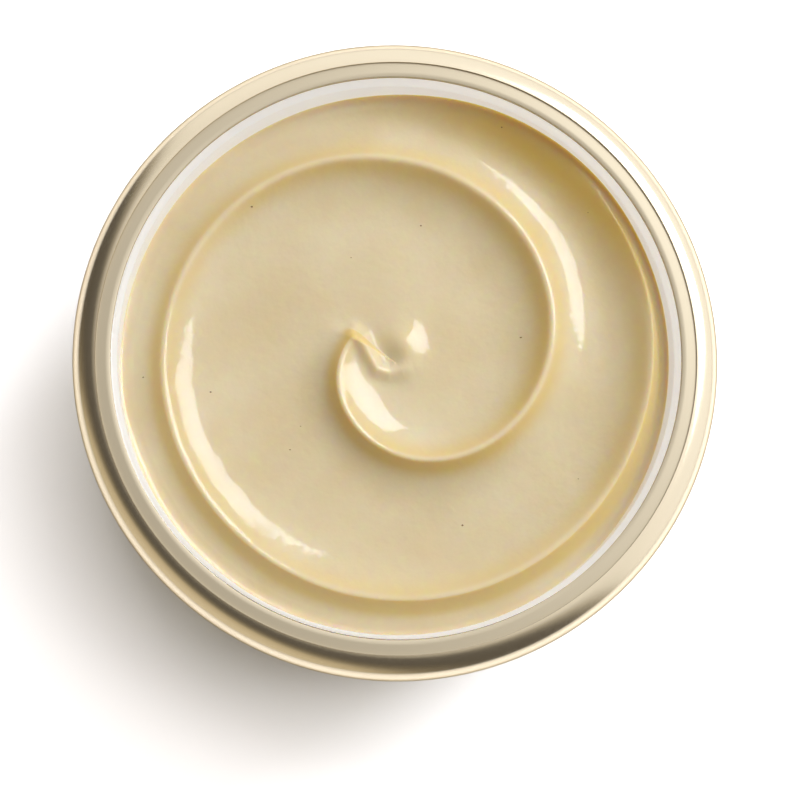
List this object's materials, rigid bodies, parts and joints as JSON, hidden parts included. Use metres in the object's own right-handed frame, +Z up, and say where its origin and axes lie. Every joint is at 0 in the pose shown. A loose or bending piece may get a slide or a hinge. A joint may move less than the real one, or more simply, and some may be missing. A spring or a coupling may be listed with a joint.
{
  "type": "mayonnaise jar",
  "caption": "Wide-mouth glass jar of mayonnaise with a gold metal band round its mouth, filled and swirled by a spoon.",
  "frame": {"origin": "centre of the base, on the surface that the jar stands on", "axes": "+Z up along the jar's axis; the swirl starts at 140 degrees from +X and winds outwards anticlockwise"},
  "size_m": [0.086, 0.086, 0.0611],
  "materials": {
    "glass": "clear, smooth",
    "band": "champagne gold lacquer, satin",
    "mayonnaise": "glossy, soft and slightly translucent"
  },
  "bodies": {
    "root": {"glass_jar": "glass", "lug_band": "band", "mayonnaise": "mayonnaise"}
  },
  "joints": []
}
